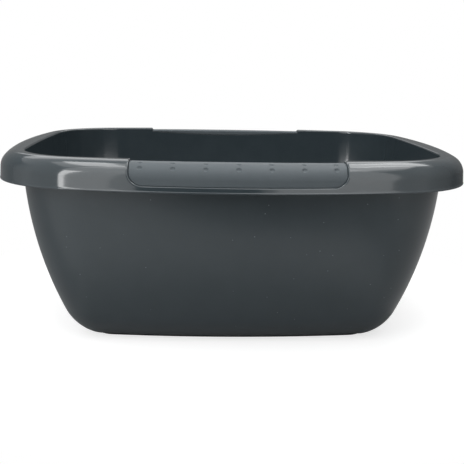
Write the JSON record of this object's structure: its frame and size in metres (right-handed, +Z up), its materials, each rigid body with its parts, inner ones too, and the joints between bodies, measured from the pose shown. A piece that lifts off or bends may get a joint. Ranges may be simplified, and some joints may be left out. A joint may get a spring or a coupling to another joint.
{
  "type": "washing up bowl",
  "caption": "Rectangular washing up bowl with bowed sides, a turned-down rim with soft recessed grips on the long sides and a non-slip foot ring.",
  "frame": {"origin": "middle of the bowl on the surface that it stands on, under the foot ring", "axes": "+Z up out of the bowl's mouth, +X along the long sides, the front grip faces -Y"},
  "size_m": [0.3898, 0.3398, 0.1568],
  "materials": {
    "shell": "dark slate grey moulded polypropylene, satin outside wall, glossier rim and inside",
    "soft_grip": "matte soft-touch elastomer in the same dark grey",
    "foot": "black matte non-slip elastomer"
  },
  "bodies": {
    "root": {"bowl_shell": "shell", "front_grip": "soft_grip", "rear_grip": "soft_grip", "foot_ring": "foot"}
  },
  "joints": []
}
